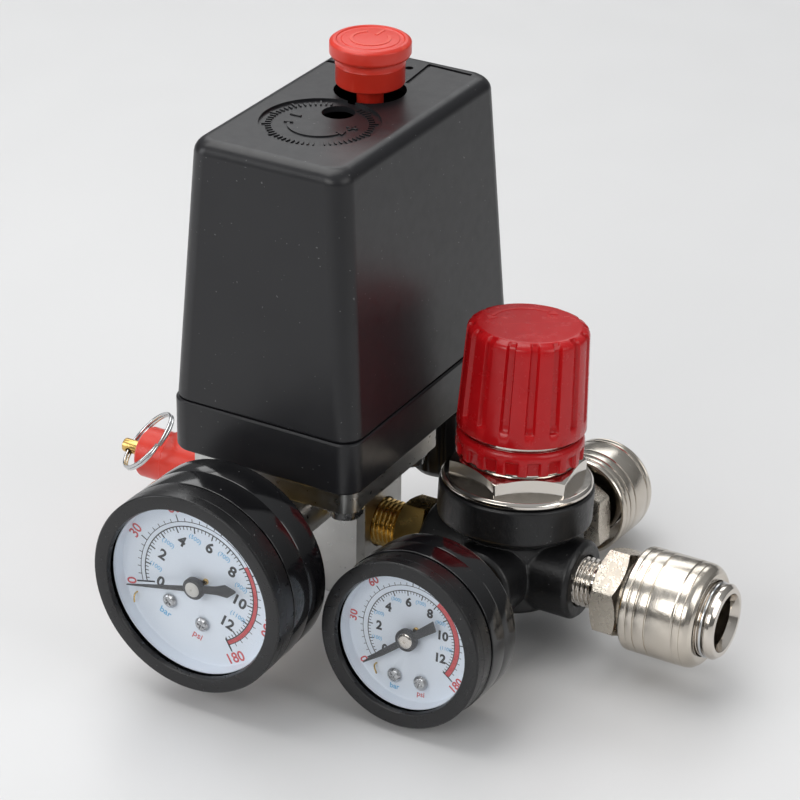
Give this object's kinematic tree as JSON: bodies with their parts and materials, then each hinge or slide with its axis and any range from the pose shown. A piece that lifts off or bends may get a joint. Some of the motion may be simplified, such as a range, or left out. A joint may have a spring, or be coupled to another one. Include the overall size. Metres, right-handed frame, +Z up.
{
  "type": "air compressor pressure switch",
  "caption": "Pressure switch on a manifold with relief valve, two gauges, pressure regulator and quick couplers, for an air compressor.",
  "frame": {"origin": "middle of the object's outline on the surface that it stands on", "axes": "+Z up; +X from the relief valve towards the regulator and its side coupler; -Y towards the gauges' faces"},
  "size_m": [0.1814, 0.1408, 0.1484],
  "materials": {
    "black_plastic": "satin, fine grain",
    "gauge_black": "gloss",
    "body_black": "satin",
    "button_red": "satin gloss",
    "knob_red": "gloss",
    "aluminium": "machined, brushed",
    "nickel": "bright nickel plate, turned",
    "brass": "turned",
    "steel": "zinc plate",
    "copper_alloy": "bright",
    "rubber": "matt",
    "dial_white": "matt, printed scales",
    "lens": "clear",
    "grey_plastic": "matt"
  },
  "bodies": {
    "housing": {"cover": "black_plastic", "switch_base": "black_plastic", "manifold_block": "aluminium", "switch_diaphragm": "rubber", "flange_bolt_1": "nickel", "flange_bolt_2": "nickel", "flange_bolt_3": "nickel", "flange_bolt_4": "nickel", "terminal_block": "grey_plastic", "main_spring": "steel", "gland_body": "black_plastic", "gland_nut": "black_plastic", "port_nipple": "brass", "tank_gauge_socket": "brass", "tank_gauge_case": "gauge_black", "tank_gauge_bezel": "gauge_black", "tank_gauge_lens": "lens", "tank_gauge_dial": "dial_white", "tank_gauge_dial_screw_1": "nickel", "tank_gauge_dial_screw_2": "nickel", "tank_gauge_movement": "brass", "tank_gauge_bourdon_tube": "copper_alloy", "outlet_gauge_socket": "brass", "outlet_gauge_case": "gauge_black", "outlet_gauge_bezel": "gauge_black", "outlet_gauge_lens": "lens", "outlet_gauge_dial": "dial_white", "outlet_gauge_dial_screw_1": "nickel", "outlet_gauge_dial_screw_2": "nickel", "outlet_gauge_movement": "brass", "outlet_gauge_bourdon_tube": "copper_alloy", "relief_body": "brass", "relief_cap": "button_red", "regulator_body": "body_black", "regulator_bonnet": "nickel", "regulator_diaphragm": "rubber", "regulator_spring": "steel", "side_coupler_body": "nickel", "side_coupler_retaining_clip": "steel", "rear_coupler_body": "nickel", "rear_coupler_retaining_clip": "steel"},
    "button": {"on_off_button": "button_red", "contact_bridge": "copper_alloy"},
    "rocker": {"rocker_lever": "steel"},
    "plunger": {"diaphragm_plunger": "grey_plastic"},
    "range_adjuster": {"range_screw": "steel"},
    "tank_needle": {"tank_gauge_needle": "black_plastic"},
    "tank_sector": {"tank_gauge_sector": "brass"},
    "outlet_needle": {"outlet_gauge_needle": "black_plastic"},
    "outlet_sector": {"outlet_gauge_sector": "brass"},
    "relief_plunger": {"relief_stem": "brass"},
    "relief_ring": {"pull_ring": "nickel"},
    "pressure_knob": {"regulator_knob": "knob_red"},
    "adjusting_nut": {"spring_nut": "brass"},
    "knob_lock": {"lock_ring": "knob_red"},
    "regulator_valve": {"regulator_poppet": "brass"},
    "side_sleeve": {"side_coupler_sleeve": "nickel"},
    "side_valve": {"side_coupler_poppet": "brass"},
    "rear_sleeve": {"rear_coupler_sleeve": "nickel"},
    "rear_valve": {"rear_coupler_poppet": "brass"}
  },
  "joints": [
    {"name": "button_press", "type": "slide", "parent": "housing", "child": "button", "axis": [0, 0, 1], "range_m": [-0.008, 0]},
    {"name": "rocker_tilt", "type": "hinge", "parent": "housing", "child": "rocker", "pos_m": [-0.01947, -0.02767, 0.0623], "axis": [1, 0, 0], "range_deg": [0, 4], "stiffness_Nm_per_rad": 1, "springref_deg": -2.86, "deforming": ["main_spring"]},
    {"name": "plunger_lift", "type": "slide", "parent": "housing", "child": "plunger", "axis": [0, 0, 1], "range_m": [0, 0.0014]},
    {"name": "range_screw_turn", "type": "hinge", "parent": "housing", "child": "range_adjuster", "pos_m": [-0.01947, 0.00223, 0.1188], "axis": [0, 0, 1], "range_deg": [-720, 720]},
    {"name": "tank_needle_turn", "type": "hinge", "parent": "housing", "child": "tank_needle", "pos_m": [-0.01947, -0.07037, 0.03295], "axis": [0, 1, 0], "range_deg": [0, 270], "stiffness_Nm_per_rad": 0.0002},
    {"name": "tank_sector_turn", "type": "hinge", "parent": "housing", "child": "tank_sector", "pos_m": [-0.02558, -0.07037, 0.02855], "axis": [0, 1, 0], "range_deg": [-33.1, 0]},
    {"name": "outlet_needle_turn", "type": "hinge", "parent": "housing", "child": "outlet_needle", "pos_m": [0.02967, -0.05153, 0.02411], "axis": [0, 0.9959, -0.0906], "range_deg": [0, 270], "stiffness_Nm_per_rad": 0.0002},
    {"name": "outlet_sector_turn", "type": "hinge", "parent": "housing", "child": "outlet_sector", "pos_m": [0.02357, -0.05193, 0.01973], "axis": [0, 0.9959, -0.0906], "range_deg": [-33.1, 0]},
    {"name": "relief_pull", "type": "slide", "parent": "housing", "child": "relief_plunger", "axis": [-1, 0, 0], "range_m": [0, 0.003], "stiffness_N_per_m": 300, "springref_m": -0.002},
    {"name": "ring_swing", "type": "hinge", "parent": "relief_plunger", "child": "relief_ring", "pos_m": [-0.08797, 0.00683, 0.0188], "axis": [0, -0.8829, -0.4695], "range_deg": [0, 280]},
    {"name": "knob_turn", "type": "hinge", "parent": "housing", "child": "pressure_knob", "pos_m": [0.02967, 0.01136, 0.06859], "axis": [0, 0.0906, 0.9959], "range_deg": [-2520, 360]},
    {"name": "nut_travel", "type": "slide", "parent": "housing", "child": "adjusting_nut", "axis": [0, 0.0906, 0.9959], "range_m": [-0.0071, 0.0011], "deforming": ["regulator_spring"]},
    {"name": "lock_ring_turn", "type": "hinge", "parent": "housing", "child": "knob_lock", "pos_m": [0.02967, 0.00991, 0.05266], "axis": [0, 0.0906, 0.9959], "range_deg": [-180, 180]},
    {"name": "regulator_valve_open", "type": "slide", "parent": "housing", "child": "regulator_valve", "axis": [0, 0.0906, 0.9959], "range_m": [-0.0012, 0], "stiffness_N_per_m": 400, "springref_m": 0.002},
    {"name": "side_sleeve_pull", "type": "slide", "parent": "housing", "child": "side_sleeve", "axis": [-1, 0, 0], "range_m": [0, 0.0035], "stiffness_N_per_m": 800, "springref_m": -0.002},
    {"name": "side_valve_push", "type": "slide", "parent": "housing", "child": "side_valve", "axis": [-1, 0, 0], "range_m": [0, 0.003], "stiffness_N_per_m": 300, "springref_m": -0.001},
    {"name": "rear_sleeve_pull", "type": "slide", "parent": "housing", "child": "rear_sleeve", "axis": [0, -0.9959, 0.0906], "range_m": [0, 0.0035], "stiffness_N_per_m": 800, "springref_m": -0.002},
    {"name": "rear_valve_push", "type": "slide", "parent": "housing", "child": "rear_valve", "axis": [0, -0.9959, 0.0906], "range_m": [0, 0.003], "stiffness_N_per_m": 300, "springref_m": -0.001}
  ],
  "couplings": [
    {"joint": "plunger_lift", "follows": "rocker_tilt", "m_per_rad": 0.0185},
    {"joint": "tank_sector_turn", "follows": "tank_needle_turn", "ratio": -0.12222},
    {"joint": "outlet_sector_turn", "follows": "outlet_needle_turn", "ratio": -0.12222},
    {"joint": "nut_travel", "follows": "knob_turn", "m_per_rad": 0.00015915}
  ]
}
